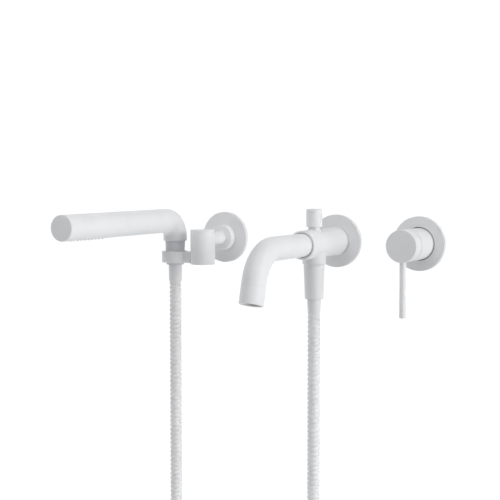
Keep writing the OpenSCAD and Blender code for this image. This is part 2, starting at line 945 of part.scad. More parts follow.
spout_flange();
spout_body();
spout_tube();
spout_orings();
spout_grub_screw();
aerator_housing();
aerator_insert();
aerator_washer();
wall_nipple();
diverter_bush();
diverter_stem_seal();
diverter_spring();
diverter_knob();
diverter_stem();
diverter_piston();
diverter_seat_washers();
check_valve();
hose_nut_spout();
hose_washer_spout();
hose_core_spout();
ferrule_spout();
hose();
wall_gaskets();
holder_flange();
holder_wall_plate();
holder_wall_screws();
holder_boss();
holder_grub_screw();
holder_arm();
holder_barrel();
barrel_plug();
holder_bracket();
bracket_screw();
bracket_liner();
handset_body();
handset_end_cap();
spray_plate();
spray_nozzles();
handset_waterway();
handset_connector();
flow_restrictor();
handset_washer();
hose_nut_handset();
hose_core_handset();
ferrule_handset();
mixer_flange();
mixer_seal();
mixer_sleeve();
mixer_valve_body();
cartridge_body();
cartridge_seal();
cartridge_nut();
fixed_disc();
moving_disc();
cartridge_spindle();
pivot_pin();
lever_stem();
mixer_cap();
mixer_lever();
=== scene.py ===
"""Wall mounted bath faucet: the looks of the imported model, in metres, in its frame.

The wall is the plane Y = 0. The fittings stand out of it towards -Y. +Z is up.
"""
import json
import math

import bmesh
import bpy
from mathutils import Matrix, Vector


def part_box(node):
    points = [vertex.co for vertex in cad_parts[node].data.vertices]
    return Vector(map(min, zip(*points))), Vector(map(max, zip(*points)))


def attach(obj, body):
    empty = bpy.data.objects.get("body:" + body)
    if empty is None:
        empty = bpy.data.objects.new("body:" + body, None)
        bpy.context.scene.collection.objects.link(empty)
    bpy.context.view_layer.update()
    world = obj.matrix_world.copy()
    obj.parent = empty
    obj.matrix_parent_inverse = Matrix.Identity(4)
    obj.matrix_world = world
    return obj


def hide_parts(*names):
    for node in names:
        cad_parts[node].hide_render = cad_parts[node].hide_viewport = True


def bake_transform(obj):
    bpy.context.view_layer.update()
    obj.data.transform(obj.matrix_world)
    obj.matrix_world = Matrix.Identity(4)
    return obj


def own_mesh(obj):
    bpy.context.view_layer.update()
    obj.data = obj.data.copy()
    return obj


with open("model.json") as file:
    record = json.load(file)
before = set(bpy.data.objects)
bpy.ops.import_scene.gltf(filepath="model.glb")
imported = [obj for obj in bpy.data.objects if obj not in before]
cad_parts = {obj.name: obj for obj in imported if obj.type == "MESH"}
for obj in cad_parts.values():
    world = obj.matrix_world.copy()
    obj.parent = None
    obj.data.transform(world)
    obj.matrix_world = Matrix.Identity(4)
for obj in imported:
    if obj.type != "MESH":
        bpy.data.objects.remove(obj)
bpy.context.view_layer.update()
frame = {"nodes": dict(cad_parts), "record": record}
record = frame["record"]

MM = 0.001
BODY_OF = {node: body for body, nodes in record["behaviour"]["bodies"].items() for node in nodes}
SLOT_OF = {part["node"]: part["material_slot"] for part in record["subparts"]}

# Camera

CAMERA_AT = (0.5804, -1.2177, 0.0858)
CAMERA_TURN = 29.73          # degrees to the left of straight at the wall
CAMERA_DOWN = 4.1            # degrees below level

lens = bpy.data.cameras.new("camera")
lens.lens = 85.2
lens.sensor_width = 36
camera = bpy.data.objects.new("camera", lens)
camera.location = CAMERA_AT
camera.rotation_euler = (math.radians(90 - CAMERA_DOWN), 0, math.radians(CAMERA_TURN))
bpy.context.scene.collection.objects.link(camera)
bpy.context.scene.camera = camera

# Shapes

SHARP = 32                   # degrees; edges over it stay sharp
PIPE_SIDES = 128


def new_object(name, bm, sharp=SHARP):
    """Turns a bmesh into a smooth shaded object whose edges over that angle stay sharp."""
    bmesh.ops.recalc_face_normals(bm, faces=bm.faces)
    mesh = bpy.data.meshes.new(name)
    bm.to_mesh(mesh)
    bm.free()
    for polygon in mesh.polygons:
        polygon.use_smooth = True
    mesh.set_sharp_from_angle(angle=math.radians(sharp))
    piece = bpy.data.objects.new(name, mesh)
    bpy.context.scene.collection.objects.link(piece)
    return piece


def outline(corners, steps=5):
    """Points of an outline with rounded corners, each (radius, along) or (radius, along, rounding)."""
    points = []
    for i, corner in enumerate(corners):
        here = Vector(corner[:2])
        before = Vector(corners[i - 1][:2]) - here
        after = Vector(corners[(i + 1) % len(corners)][:2]) - here
        rounding = corner[2] if len(corner) > 2 else 0
        if not rounding:
            points.append(here)
            continue
        half = before.angle(after) / 2
        back = min(rounding / math.tan(half), 0.49 * before.length, 0.49 * after.length)
        rounding = back * math.tan(half)
        inward = (before.normalized() + after.normalized()).normalized()
        middle = here + inward * (rounding / math.sin(half))
        first = here + before.normalized() * back - middle
        last = here + after.normalized() * back - middle
        sweep = first.angle_signed(last)
        for k in range(steps + 1):
            points.append(middle + Matrix.Rotation(-sweep * k / steps, 2) @ first)
    return points


def lathe(name, corners, place, sides=96, wave=None, sharp=SHARP):
    """Turns an outline round local Z, at place. wave(along, turn) adds to the radius, for threads."""
    bm = bmesh.new()
    rings = []
    for radius, along in outline(corners):
        if radius < 1e-7:
            rings.append([bm.verts.new(place @ Vector((0, 0, along)))])
            continue
        ring = []
        for k in range(sides):
            turn = 2 * math.pi * k / sides
            r = radius + (wave(along, k / sides) if wave else 0)
            ring.append(bm.verts.new(place @ Vector((r * math.cos(turn), r * math.sin(turn), along))))
        rings.append(ring)
    solid = len(rings[0]) == 1 and len(rings[-1]) == 1
    pairs = list(zip(rings, rings[1:])) + ([] if solid else [(rings[-1], rings[0])])
    for a, b in pairs:
        for k in range(sides):
            m = (k + 1) % sides
            corner = [a[k % len(a)], a[m % len(a)], b[m % len(b)], b[k % len(b)]]
            face = list(dict.fromkeys(corner))
            if len(face) > 2:
                bm.faces.new(face)
    return new_object(name, bm, sharp)


def frames_along(path):
    """For each point of a path: the point and two directions square to the path that don't twist."""
    ways = [(path[min(i + 1, len(path) - 1)] - path[max(i - 1, 0)]).normalized() for i in range(len(path))]
    side = ways[0].orthogonal().normalized()
    found = []
    for point, way in zip(path, ways):
        side = (side - way * side.dot(way)).normalized()
        found.append((point, side, way.cross(side)))
    return found


def skin(bm, path, radius, sides):
    """Rings round a path. radius(i, turn) is the radius at point i and the share of a turn."""
    rings = []
    for i, (point, side, up) in enumerate(frames_along(path)):
        ring = []
        for k in range(sides):
            turn = 2 * math.pi * k / sides
            outward = math.cos(turn) * side + math.sin(turn) * up
            ring.append(bm.verts.new(point + radius(i, k / sides) * outward))
        rings.append(ring)
    return rings


def bridge(bm, a, b):
    """A band of faces between two rings."""
    for k in range(len(a)):
        m = (k + 1) % len(a)
        bm.faces.new((a[k], a[m], b[m], b[k]))


def rod(name, path, radius, sides, sharp=SHARP):
    """A solid rod along a path."""
    bm = bmesh.new()
    rings = skin(bm, path, radius, sides)
    for a, b in zip(rings, rings[1:]):
        bridge(bm, a, b)
    bm.faces.new(rings[0])
    bm.faces.new(rings[-1])
    return new_object(name, bm, sharp)


def pipe(name, path, outer, bore):
    """A pipe with a wall along a path. outer(i, turn) is its radius and bore the radius of its hole."""
    bm = bmesh.new()
    outside = skin(bm, path, outer, PIPE_SIDES)
    inside = skin(bm, path, lambda i, turn: bore, PIPE_SIDES)
    for rings in (outside, inside):
        for a, b in zip(rings, rings[1:]):
            bridge(bm, a, b)
    bridge(bm, outside[0], inside[0])
    bridge(bm, outside[-1], inside[-1])
    return new_object(name, bm)


def combine(piece, tool, how):
    """Joins, cuts or intersects piece with tool, and drops tool."""
    step = piece.modifiers.new("combine", "BOOLEAN")
    step.operation = how
    step.solver = "EXACT"
    step.object = tool
    bpy.context.view_layer.update()
    done = piece.evaluated_get(bpy.context.evaluated_depsgraph_get())
    mesh = bpy.data.meshes.new_from_object(done)
    piece.modifiers.clear()
    piece.data = mesh
    bpy.data.objects.remove(tool)
    bm = bmesh.new()
    bm.from_mesh(mesh)
    bmesh.ops.remove_doubles(bm, verts=bm.verts, dist=1e-6)
    bm.to_mesh(mesh)
    bm.free()
    for polygon in mesh.polygons:
        polygon.use_smooth = True
    mesh.set_sharp_from_angle(angle=math.radians(SHARP))
    return piece


def soften(piece, width):
    """A small bevel on the sharp edges."""
    bevel = piece.modifiers.new("soften", "BEVEL")
    bevel.width = width
    bevel.segments = 2
    bevel.limit_method = "ANGLE"
    bevel.angle_limit = math.radians(40)
    bevel.harden_normals = True
    return piece


def out_of_wall(x=0.0, z=0.0):
    """Local Z is the distance from the wall, local Y is up."""
    return Matrix.Translation((x, 0, z)) @ Matrix.Rotation(math.radians(90), 4, "X")


def upright(x, y):
    """Local Z is straight up, from the height of the spout's middle."""
    return Matrix.Translation((x, y, 0))


def screw_wave(pitch, depth, start, end):
    """A thread between two distances along the axis."""
    def wave(along, turn):
        if not start <= along <= end:
            return 0
        fade = min(1, (along - start) / pitch, (end - along) / pitch)
        share = (along / pitch - turn) % 1
        return -depth * fade * abs(2 * share - 1)
    return wave


# Materials


def shader(name):
    """A new material, its node tree and its shader."""
    material = bpy.data.materials.new(name)
    material.use_nodes = True
    tree = material.node_tree
    return material, tree, tree.nodes["Principled BSDF"]


def noise(tree, scale, detail=2.0, rough=0.5):
    """Soft noise in metres: a scale of 1000 has grains of about a millimetre."""
    place = tree.nodes.new("ShaderNodeTexCoord")
    texture = tree.nodes.new("ShaderNodeTexNoise")
    texture.inputs["Scale"].default_value = scale
    texture.inputs["Detail"].default_value = detail
    texture.inputs["Roughness"].default_value = rough
    tree.links.new(place.outputs["Object"], texture.inputs["Vector"])
    return texture.outputs["Fac"]


def ramp(tree, value, low, high, low_at=0.3, high_at=0.7):
    """Maps a 0 to 1 value to a colour or a grey between two ends."""
    node = tree.nodes.new("ShaderNodeValToRGB")
    for element, at, colour in zip(node.color_ramp.elements, (low_at, high_at), (low, high)):
        element.position = at
        element.color = colour if isinstance(colour, tuple) else (colour, colour, colour, 1)
    tree.links.new(value, node.inputs["Fac"])
    return node.outputs["Color"]


def bump(tree, bsdf, layers):
    """Stacks bumps: each layer is (height, distance in metres, strength)."""
    last = None
    for height, distance, strength in layers:
        node = tree.nodes.new("ShaderNodeBump")
        node.inputs["Distance"].default_value = distance
        node.inputs["Strength"].default_value = strength
        tree.links.new(height, node.inputs["Height"])
        if last:
            tree.links.new(last, node.inputs["Normal"])
        last = node.outputs["Normal"]
    tree.links.new(last, bsdf.inputs["Normal"])


def coated(name, low, high, gloss=(0.42, 0.52)):
    """Matte powder coat: fine grain on a soft orange peel, with a very slight drift in tone."""
    material, tree, bsdf = shader(name)
    tree.links.new(ramp(tree, noise(tree, 40, 3), low, high), bsdf.inputs["Base Color"])
    tree.links.new(ramp(tree, noise(tree, 700, 2), gloss[0], gloss[1]), bsdf.inputs["Roughness"])
    bump(tree, bsdf, [(noise(tree, 900, 2), 0.00003, 0.35), (noise(tree, 5200, 2), 0.00001, 0.5)])
    bsdf.inputs["IOR"].default_value = 1.45
    return material


def metal(name, low, high, rough, grain=1400):
    """Bare turned metal with fine tool marks and a slightly uneven tone."""
    material, tree, bsdf = shader(name)
    tree.links.new(ramp(tree, noise(tree, 120, 4), low, high), bsdf.inputs["Base Color"])
    tree.links.new(ramp(tree, noise(tree, grain, 3), rough[0], rough[1]), bsdf.inputs["Roughness"])
    bump(tree, bsdf, [(noise(tree, grain, 3), 0.00002, 0.35)])
    bsdf.inputs["Metallic"].default_value = 1.0
    return material


def moulded(name, low, high, rough, grain=1800, strength=0.35):
    """Moulded plastic, rubber or ceramic with a fine surface grain."""
    material, tree, bsdf = shader(name)
    tree.links.new(ramp(tree, noise(tree, 90, 3), low, high), bsdf.inputs["Base Color"])
    tree.links.new(ramp(tree, noise(tree, grain, 2), rough[0], rough[1]), bsdf.inputs["Roughness"])
    bump(tree, bsdf, [(noise(tree, grain, 2), 0.00002, strength)])
    return material


ENAMEL = coated("white_enamel", (0.835, 0.838, 0.845, 1), (0.865, 0.868, 0.875, 1))
# Painted shade: the nut under the hand shower gets a darker copy of the white enamel, for the shadow it
# sits in under the elbow, beside the holder's barrel
ENAMEL_WITH_PAINTED_SHADE = coated("white_enamel_nut_painted_shade", (0.70, 0.71, 0.73, 1), (0.73, 0.74, 0.76, 1))
FINISH = {
    "white_enamel": ENAMEL,
    "white_hose": coated("white_hose", (0.82, 0.823, 0.83, 1), (0.865, 0.868, 0.875, 1), (0.38, 0.5)),
    "brass": metal("brass", (0.62, 0.42, 0.18, 1), (0.78, 0.58, 0.28, 1), (0.28, 0.42)),
    "steel": metal("steel", (0.52, 0.52, 0.53, 1), (0.66, 0.66, 0.67, 1), (0.25, 0.38)),
    "black_rubber": moulded("black_rubber", (0.02, 0.02, 0.022, 1), (0.04, 0.04, 0.043, 1), (0.6, 0.75)),
    "white_silicone": moulded(
        "white_silicone", (0.78, 0.785, 0.79, 1), (0.84, 0.845, 0.85, 1), (0.45, 0.6),
    ),
    "plastic": moulded("plastic", (0.66, 0.66, 0.64, 1), (0.74, 0.74, 0.72, 1), (0.35, 0.5)),
    "grey_plastic": moulded("grey_plastic", (0.10, 0.10, 0.105, 1), (0.15, 0.15, 0.155, 1), (0.4, 0.55)),
    "ceramic": moulded("ceramic", (0.80, 0.77, 0.70, 1), (0.87, 0.85, 0.79, 1), (0.12, 0.2)),
}

for name, node in frame["nodes"].items():
    node.data.materials.clear()
    node.data.materials.append(FINISH[SLOT_OF[name]])


def stands_for(piece, node):
    """piece takes the place, the body and the finish of a CAD node."""
    piece.data.materials.clear()
    piece.data.materials.append(FINISH[SLOT_OF[node]])
    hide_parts(node)
    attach(piece, BODY_OF[node])
    return piece


# Hose

HOSE_ROUTE = [Vector(p) * MM for p in (
    (-185.5, -54, -50.3), (-185.5, -54, -75), (-185.5, -54, -100),
    (-185.5, -54, -150), (-185.5, -54, -200), (-185.5, -54, -250),
    (-185.5, -54, -300), (-185.5, -54, -350), (-185.5, -54, -400),
    (-185.5, -54, -450), (-185, -54, -495), (-178, -54.5, -532),
    (-158, -55, -562), (-128, -56, -582), (-93, -57, -589),
    (-58, -58, -582), (-28, -59, -562), (-8, -59.5, -532),
    (-0.5, -59.5, -495), (0, -59.5, -450), (0, -59.5, -400),
    (0, -59.5, -350), (0, -59.5, -300), (0, -59.5, -250),
    (0, -59.5, -200), (0, -59.5, -150), (0, -59.5, -120),
    (0, -59.5, -95), (0, -59.5, -73.8),
)]
HOSE_D = 14 * MM
RIB_PITCH = 5.3 * MM
RIB_DEPTH = 1.1 * MM
RIB_ROUNDNESS = 2.2          # 1 is a zigzag, more is a rounder bead
HOSE_STEP = 0.5 * MM
HOSE_SIDES = 36


def smooth_route(points, step):
    """Points along a smooth curve through the route, at most a step apart."""
    found = []
    for i in range(len(points) - 1):
        a, b, c, d = (points[min(max(j, 0), len(points) - 1)] for j in (i - 1, i, i + 1, i + 2))
        count = max(1, round((c - b).length / step))
        for k in range(count):
            t = k / count
            bend = (2 * a - 5 * b + 4 * c - d) + t * (3 * (b - c) + d - a)
            found.append(b + 0.5 * t * ((c - a) + t * bend))
    return found + [points[-1]]


def make_hose():
    """A ribbed hose along a fixed route, from under the hand shower down and up to the spout."""
    path = smooth_route(HOSE_ROUTE, HOSE_STEP)
    run = [0.0]
    for a, b in zip(path, path[1:]):
        run.append(run[-1] + (b - a).length)

    def radius(i, turn):
        share = (run[i] / RIB_PITCH - turn) % 1
        return HOSE_D / 2 - RIB_DEPTH * abs(2 * share - 1) ** RIB_ROUNDNESS

    hose = rod("hose_ribbed", path, radius, HOSE_SIDES, sharp=60)
    hose.data.materials.append(FINISH["white_hose"])
    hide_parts("hose")
    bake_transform(hose)


make_hose()

# Sizes that several pieces share, most of them read off the CAD boxes

EASE = 0.6 * MM              # rounding of the coated pieces' outer edges
CREASE = 0.35 * MM           # rounding where two shapes meet


def box_of(node):
    """Low corner, high corner and middle of a node's box."""
    low, high = (Vector(corner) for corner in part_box(node))
    return low, high, (low + high) / 2


def radius_of(node):
    """Half a node's width."""
    low, high, _ = box_of(node)
    return (high.x - low.x) / 2


BODY_R = radius_of("spout_body")
BODY_END = -box_of("spout_body")[0].y
SLEEVE_R = radius_of("mixer_sleeve")
MIXER_X = box_of("mixer_sleeve")[2].x
HOLDER_X = box_of("holder_flange")[2].x
DIVERTER_Y = box_of("diverter_knob")[2].y
DIVERTER = upright(0, DIVERTER_Y)
HANDSET_X = box_of("handset_end_cap")[2].x
BARREL_Y = box_of("holder_barrel")[2].y
HANDSET = upright(HANDSET_X, BARREL_Y)
BARREL = upright(HOLDER_X, BARREL_Y)
HANDSET_R = radius_of("handset_end_cap")
HANDSET_Z = box_of("handset_end_cap")[2].z
HANDSET_END = -box_of("handset_end_cap")[0].y


def mm(*corners):
    """Outline corners given in millimetres."""
    return [tuple(value * MM for value in corner) for corner in corners]


def stretch(r0, z0, r1, z1, step):
    """Outline corners at even steps from one corner to the next, so that a wave has something to bend."""
    count = max(1, round(abs(z1 - z0) / step))
    return [(r0 + (r1 - r0) * k / count, z0 + (z1 - z0) * k / count) for k in range(count + 1)]


# Flanges

RECESS = 3 * MM
ARM_HOLE = 10.05 * MM
BODY_GAP = 0.4 * MM
SLEEVE_GAP = 0.9 * MM


def make_flange(node, hole):
    low, high, middle = box_of(node)
    radius, thick = (high.x - low.x) / 2, -low.y
    stands_for(lathe(node + "_turned", [
        (hole, RECESS), (radius - RECESS, RECESS, EASE), (radius - RECESS, 0), (radius, 0, 0.3 * MM),
        (radius, thick, EASE), (hole, thick, 0.3 * MM),
    ], out_of_wall(middle.x), sides=192), node)


make_flange("holder_flange", ARM_HOLE)
make_flange("spout_flange", BODY_R + BODY_GAP)
make_flange("mixer_flange", SLEEVE_R + SLEEVE_GAP)

# Spout

TUBE_R = 12.7 * MM
TUBE_WALL = 1.5 * MM
BEND_START = 153.5 * MM
BEND_R = 41 * MM
BEND_ANGLE = math.radians(75)
TAIL = 24 * MM
AERATOR = 5.3 * MM           # where the aerator's housing starts, past the bend
SOCKET_DEPTH = 18 * MM       # how deep the body takes the tube
GROOVE_R = 13.6 * MM         # of the groove round the tube at the end of the body
GROOVE_DEPTH = 2.5 * MM
BEND_STEPS = 48
TAIL_PLACE = out_of_wall() @ Matrix.Translation((
    0, -BEND_R * (1 - math.cos(BEND_ANGLE)), BEND_START + BEND_R * math.sin(BEND_ANGLE),
)) @ Matrix.Rotation(BEND_ANGLE, 4, "X")


def make_spout_body():
    hole = TUBE_R + 0.05 * MM
    groove, socket = BODY_END - GROOVE_DEPTH, BODY_END - SOCKET_DEPTH
    body = lathe("spout_body_turned", [
        (0, 1 * MM), (BODY_R, 1 * MM), (BODY_R, BODY_END, EASE), (GROOVE_R, BODY_END, 0.3 * MM),
        (GROOVE_R, groove), (hole, groove), (hole, socket), (0, socket),
    ], out_of_wall(), sides=128)
    boss = lathe("boss", mm(
        (0, 0), (13, 0), (13, -22.2, 0.8), (9.9, -22.2), (9.9, -35, 0.8), (6.5, -35), (6.5, -19.9),
        (0, -19.9),
    ), DIVERTER, sides=128)
    body = combine(body, boss, "UNION")
    chamber = lathe("chamber", mm(
        (0, -20.2), (4.5, -20.2), (4.5, -9), (7.5, -9), (7.5, 18), (0, 18),
    ), DIVERTER)
    stands_for(soften(combine(body, chamber, "DIFFERENCE"), CREASE), "spout_body")


def make_spout_tube():
    place = out_of_wall()
    path = [place @ Vector((0, 0, along)) for along in (75 * MM, 90 * MM, 120 * MM)]
    for k in range(BEND_STEPS + 1):
        turn = BEND_ANGLE * k / BEND_STEPS
        drop = BEND_R * (1 - math.cos(turn))
        path.append(place @ Vector((0, -drop, BEND_START + BEND_R * math.sin(turn))))
    for short in (0.15 * MM, 0.03 * MM):
        path.append(TAIL_PLACE @ Vector((0, 0, AERATOR - short)))
    last = len(path) - 1
    tube = pipe("spout_tube_bent", path, lambda i, turn: TUBE_R - (0.12 * MM if i == last else 0),
                TUBE_R - TUBE_WALL)
    stands_for(tube, "spout_tube")


def make_aerator():
    lip = TUBE_R - 2.2 * MM
    stands_for(lathe("aerator_housing_turned", [
        (TUBE_R - 1.15 * MM, AERATOR), (TUBE_R, AERATOR, 0.12 * MM), (TUBE_R, TAIL, EASE),
        (TUBE_R - 1.6 * MM, TAIL, 0.3 * MM), (lip, TAIL - 1.2 * MM), (lip, AERATOR + 4.2 * MM),
        (TUBE_R - 1.15 * MM, AERATOR + 4.2 * MM),
    ], TAIL_PLACE, sides=128), "aerator_housing")


make_spout_body()
make_spout_tube()
make_aerator()

# Diverter

SPRING_WIRE_R = 0.4 * MM
SPRING_TURNS = 6
SPRING_STEPS = 24            # rings in each turn

stands_for(lathe("diverter_knob_turned", mm(
    (2.5, 24), (7.6, 24), (7.6, 18.4, 0.3), (8.8, 18.4, 0.5), (8.8, 34.2, 0.1), (8.4, 34.3), (8.4, 34.7),
    (8.8, 34.8, 0.1), (8.8, 38, 0.7), (0, 38), (0, 34), (2.5, 34),
), DIVERTER), "diverter_knob")
stands_for(lathe("diverter_bush_turned", mm(
    (4.8, 2.6), (7.45, 2.6), (7.45, 15.95, 0.3), (6.6, 15.95), (6.6, 20, 0.4), (2.56, 20, 0.2), (2.56, 11),
    (6, 11), (6, 5), (4.8, 5),
), DIVERTER), "diverter_bush")


def make_spring():
    """A coil of wire that fills the spring's box."""
    low, high, middle = box_of("diverter_spring")
    coil = (high.x - low.x) / 2 - SPRING_WIRE_R
    rise = high.z - low.z - 2 * SPRING_WIRE_R
    rings = SPRING_TURNS * SPRING_STEPS
    path = []
    for k in range(rings + 1):
        turn = math.tau * k / SPRING_STEPS
        along = low.z + SPRING_WIRE_R + rise * k / rings
        path.append(Vector((middle.x + coil * math.cos(turn), middle.y + coil * math.sin(turn), along)))
    spring = rod("diverter_spring_coiled", path, lambda i, turn: SPRING_WIRE_R, 12)
    stands_for(spring, "diverter_spring")
    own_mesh(spring)


make_spring()

# Hose fittings

stands_for(lathe("hose_nut_spout_turned", mm(
    (6.2, -60.4), (10.2, -60.4, 0.4), (11.49, -26.4), (11.2, -26.2), (11.2, -25.8), (11.52, -25.6),
    (11.65, -22.3, 0.8), (9.95, -22.3), (9.95, -40.15), (6.2, -40.15),
), DIVERTER), "hose_nut_spout")
handset_nut = stands_for(lathe("hose_nut_handset_turned", mm(
    (6.2, -30.6), (10.5, -30.6, 0.2), (11.65, -2.7, 0.2), (9.95, -2.7), (9.95, -19.15), (6.2, -19.15),
), HANDSET), "hose_nut_handset")
# Painted shade: this darker copy of the white enamel stands in for the shadow on the nut
handset_nut.data.materials[0] = ENAMEL_WITH_PAINTED_SHADE
stands_for(lathe("ferrule_spout_turned", mm(
    (5.95, -73.8), (7.2, -73.8, 0.4), (7.65, -60.6, 0.3), (5.95, -60.6),
), DIVERTER), "ferrule_spout")
stands_for(lathe("ferrule_handset_turned", mm(
    (5.95, -50.3), (7.6, -50.3, 0.4), (7.85, -30.9, 0.3), (5.95, -30.9),
), HANDSET), "ferrule_handset")

# Holder

RING_X = HANDSET_X - HOLDER_X
RING_LOW, RING_HIGH = -28 * MM, -15 * MM
RING_HOLE_R = 13 * MM
RING_R = 15.7 * MM
NECK_WIDTH = 12 * MM
BARREL_HOLE_R = 14.22 * MM


def make_bracket():
    ring = lathe("bracket_ring", [
        (RING_HOLE_R, RING_LOW, 0.3 * MM), (RING_R, RING_LOW, 0.5 * MM), (RING_R, RING_HIGH, 0.5 * MM),
        (RING_HOLE_R, RING_HIGH, 0.3 * MM),
    ], HANDSET)
    bm = bmesh.new()
    bmesh.ops.create_cube(bm, size=1)
    start, end = RING_X + 13.5 * MM, -13.6 * MM    # inside the ring's wall, inside the barrel
    bmesh.ops.scale(bm, vec=(end - start, NECK_WIDTH, RING_HIGH - RING_LOW), verts=bm.verts)
    bmesh.ops.translate(bm, vec=((start + end) / 2, 0, (RING_LOW + RING_HIGH) / 2), verts=bm.verts)
    bm.transform(BARREL)
    long_edges = [e for e in bm.edges if abs(e.verts[0].co.x - e.verts[1].co.x) > 1 * MM]
    bmesh.ops.bevel(bm, geom=long_edges, offset=0.5 * MM, segments=4, profile=0.5, affect="EDGES")
    bracket = combine(ring, new_object("neck", bm), "UNION")
    barrel = lathe("barrel_tool", [
        (0, -40 * MM), (BARREL_HOLE_R, -40 * MM), (BARREL_HOLE_R, 0), (0, 0),
    ], BARREL)
    stands_for(soften(combine(bracket, barrel, "DIFFERENCE"), 0.25 * MM), "holder_bracket")


stands_for(lathe("holder_boss_turned", mm(
    (6.05, 3), (10, 3), (10, 5), (15, 5, 0.3), (15, 14.2, 0.6), (5, 14.2), (5, 8.6), (6.05, 8.6),
), out_of_wall(HOLDER_X), sides=128), "holder_boss")
stands_for(lathe("holder_arm_turned", mm(
    (0, 8.7), (4.95, 8.7), (4.95, 14.2), (7.5, 14.2, 0.2), (7.5, 41.5), (4.95, 41.5), (4.95, 44.6),
    (0, 44.6),
), out_of_wall(HOLDER_X)), "holder_arm")
stands_for(lathe("holder_barrel_turned", mm(
    (9, -29, 0.2), (14.2, -29, 0.6), (14.2, 11, 0.6), (0, 11), (0, 6), (9, 6),
), BARREL, sides=128), "holder_barrel")
make_bracket()

# Hand shower

HANDSET_WALL = 1.5 * MM
ELBOW_R = 20 * MM
ELBOW_STEPS = 40
CAP_T = 2 * MM
CAP_BACK = HANDSET_END - CAP_T + 0.05 * MM
STUB_Z = -2.6 * MM           # lower end of the tube, under the elbow
NOZZLES = 10
NOZZLE_PITCH = 6 * MM
NOZZLE_ROWS = (-22, 0, 22)
SPRAY_END = HANDSET_END - 8.5 * MM
SPRAY_START = SPRAY_END - NOZZLE_PITCH * (NOZZLES - 1) - 14 * MM
TUBE_PLACE = out_of_wall(HANDSET_X, HANDSET_Z)
WINDOW_WIDTH, WINDOW_DEPTH = 16 * MM, 18 * MM    # of the box that cuts the spray plate's opening
NOZZLE_SIDES = 20
MAT_SPREAD = 35              # degrees to each side of straight down
MAT_STEPS = 12


def make_handset_tube():
    elbow_out = -BARREL_Y + ELBOW_R
    end = HANDSET_END - CAP_T
    path = [TUBE_PLACE @ Vector((0, 0, end - (end - elbow_out) * k / 4)) for k in range(5)]
    for k in range(1, ELBOW_STEPS + 1):
        turn = math.radians(90) * k / ELBOW_STEPS
        drop = ELBOW_R * (1 - math.cos(turn))
        path.append(TUBE_PLACE @ Vector((0, -drop, elbow_out - ELBOW_R * math.sin(turn))))
    for above in (0.5 * MM, 0.15 * MM, 0):
        path.append(HANDSET @ Vector((0, 0, STUB_Z + above)))
    eased = {len(path) - 1: 0.5 * MM, len(path) - 2: 0.15 * MM}
    tube = pipe("handset_tube", path, lambda i, turn: HANDSET_R - eased.get(i, 0), HANDSET_R - HANDSET_WALL)
    bm = bmesh.new()
    bmesh.ops.create_cube(bm, size=1)
    bmesh.ops.scale(bm, vec=(WINDOW_WIDTH, WINDOW_DEPTH, SPRAY_END - SPRAY_START), verts=bm.verts)
    bmesh.ops.translate(bm, vec=(0, -11 * MM, (SPRAY_START + SPRAY_END) / 2), verts=bm.verts)
    bm.transform(TUBE_PLACE)
    stands_for(combine(tube, new_object("window", bm), "DIFFERENCE"), "handset_body")


def make_nozzle(bm, place, profile):
    """A ring of faces round a closed profile, so the nozzle has a hole through it."""
    rings = []
    for radius, along in profile:
        ring = []
        for k in range(NOZZLE_SIDES):
            turn = math.tau * k / NOZZLE_SIDES
            corner = Vector((radius * math.cos(turn), radius * math.sin(turn), along))
            ring.append(bm.verts.new(place @ corner))
        rings.append(ring)
    for a, b in zip(rings, rings[1:] + rings[:1]):
        bridge(bm, a, b)


def make_mat(bm, outer):
    """The curved mat that the nozzles stand on, against the inside of the tube."""
    spread = (k / MAT_STEPS * 2 - 1 for k in range(MAT_STEPS + 1))
    arc = [math.radians(270 + MAT_SPREAD * share) for share in spread]
    sheets = []
    for r in (outer, outer - 1 * MM):
        for along in (SPRAY_START + 0.3 * MM, SPRAY_END - 0.3 * MM):
            places = [TUBE_PLACE @ Vector((r * math.cos(turn), r * math.sin(turn), along)) for turn in arc]
            sheets.append([bm.verts.new(place) for place in places])
    top_a, top_b, low_a, low_b = sheets
    for a, b in ((top_a, top_b), (low_a, low_b), (top_a, low_a), (top_b, low_b)):
        for k in range(MAT_STEPS):
            bm.faces.new((a[k], a[k + 1], b[k + 1], b[k]))
    for k in (0, MAT_STEPS):
        bm.faces.new((top_a[k], top_b[k], low_b[k], low_a[k]))


def make_nozzles():
    """Silicone nozzles with a hole in each, on a curved mat under the spray plate."""
    bm = bmesh.new()
    outer = HANDSET_R - HANDSET_WALL - 0.1 * MM
    down = Matrix.Rotation(math.radians(90), 4, "X")
    profile = outline(mm((0.4, 0), (1.05, 0), (0.8, 2.6, 0.25), (0.4, 2.6, 0.1)), 3)
    for row in NOZZLE_ROWS:
        for k in range(NOZZLES):
            along = SPRAY_START + 7 * MM + k * NOZZLE_PITCH
            across = TUBE_PLACE @ Matrix.Rotation(math.radians(row), 4, "Z")
            make_nozzle(bm, across @ Matrix.Translation((0, -outer, along)) @ down, profile)
    make_mat(bm, outer)
    stands_for(new_object("spray_nozzles_moulded", bm), "spray_nozzles")


make_handset_tube()
make_nozzles()
stands_for(lathe("handset_end_cap_turned", [
    (0, CAP_BACK), (HANDSET_R, CAP_BACK, 0.1 * MM), (HANDSET_R, HANDSET_END, EASE), (0, HANDSET_END),
], out_of_wall(HANDSET_X, HANDSET_Z), sides=128), "handset_end_cap")

# Mixer

SEAM = 38.6 * MM             # distance of the cap's seam from the wall
SEAM_DEPTH = 0.7 * MM
MIXER_END = -box_of("mixer_cap")[0].y
MIXER_WALL = 1.5 * MM
PIVOT = SEAM - 8 * MM        # the lever tilts about a pin at this distance from the wall
DOME_R = math.hypot(SEAM - PIVOT, SLEEVE_R)
DOME_T = 1.8 * MM
DOME_HOLE_R = 12.1 * MM
CAVITY_R = DOME_R + 0.3 * MM
STEM_R = 4.82 * MM           # of the hole for the lever's stem
LEVER_STUD_R = 2.5 * MM
LEVER_TOP, LEVER_STUD_TOP = -16 * MM, -4 * MM
TIP_LINE = 6.2 * MM          # height of the turned line over the lever's tip


